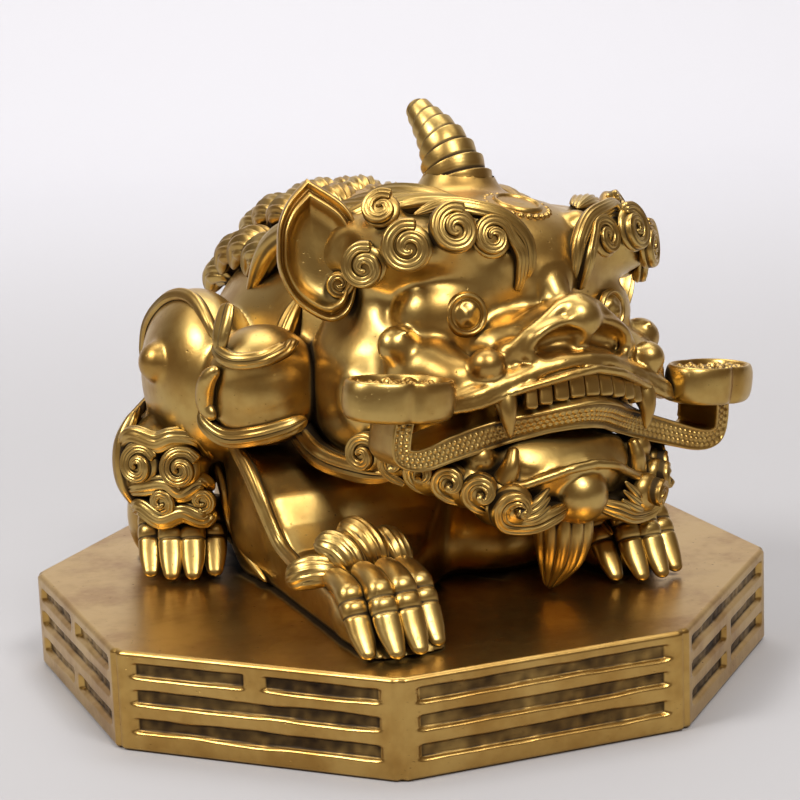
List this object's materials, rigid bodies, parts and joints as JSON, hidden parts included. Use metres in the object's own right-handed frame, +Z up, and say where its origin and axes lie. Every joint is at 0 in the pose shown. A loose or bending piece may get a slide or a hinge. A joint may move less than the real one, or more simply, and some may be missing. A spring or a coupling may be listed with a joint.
{
  "type": "auspicious beast figure",
  "caption": "Cast brass figure of a crouching horned lion-like beast holding a ruyi sceptre in its jaws, on an octagonal plinth with trigram bars.",
  "frame": {"origin": "centre of the plinth's underside", "axes": "+Z up, the beast's body faces -Y, its right side is towards -X"},
  "size_m": [0.15, 0.15, 0.1214],
  "materials": {
    "brass_plinth": "brushed golden brass with brown patina",
    "brass_beast": "polished golden brass, dark brown patina in the hollows",
    "brass_ruyi": "polished golden brass, dark patina in the hollows"
  },
  "bodies": {
    "root": {"trigram_plinth": "brass_plinth", "beast": "brass_beast", "ruyi_sceptre": "brass_ruyi"}
  },
  "joints": []
}
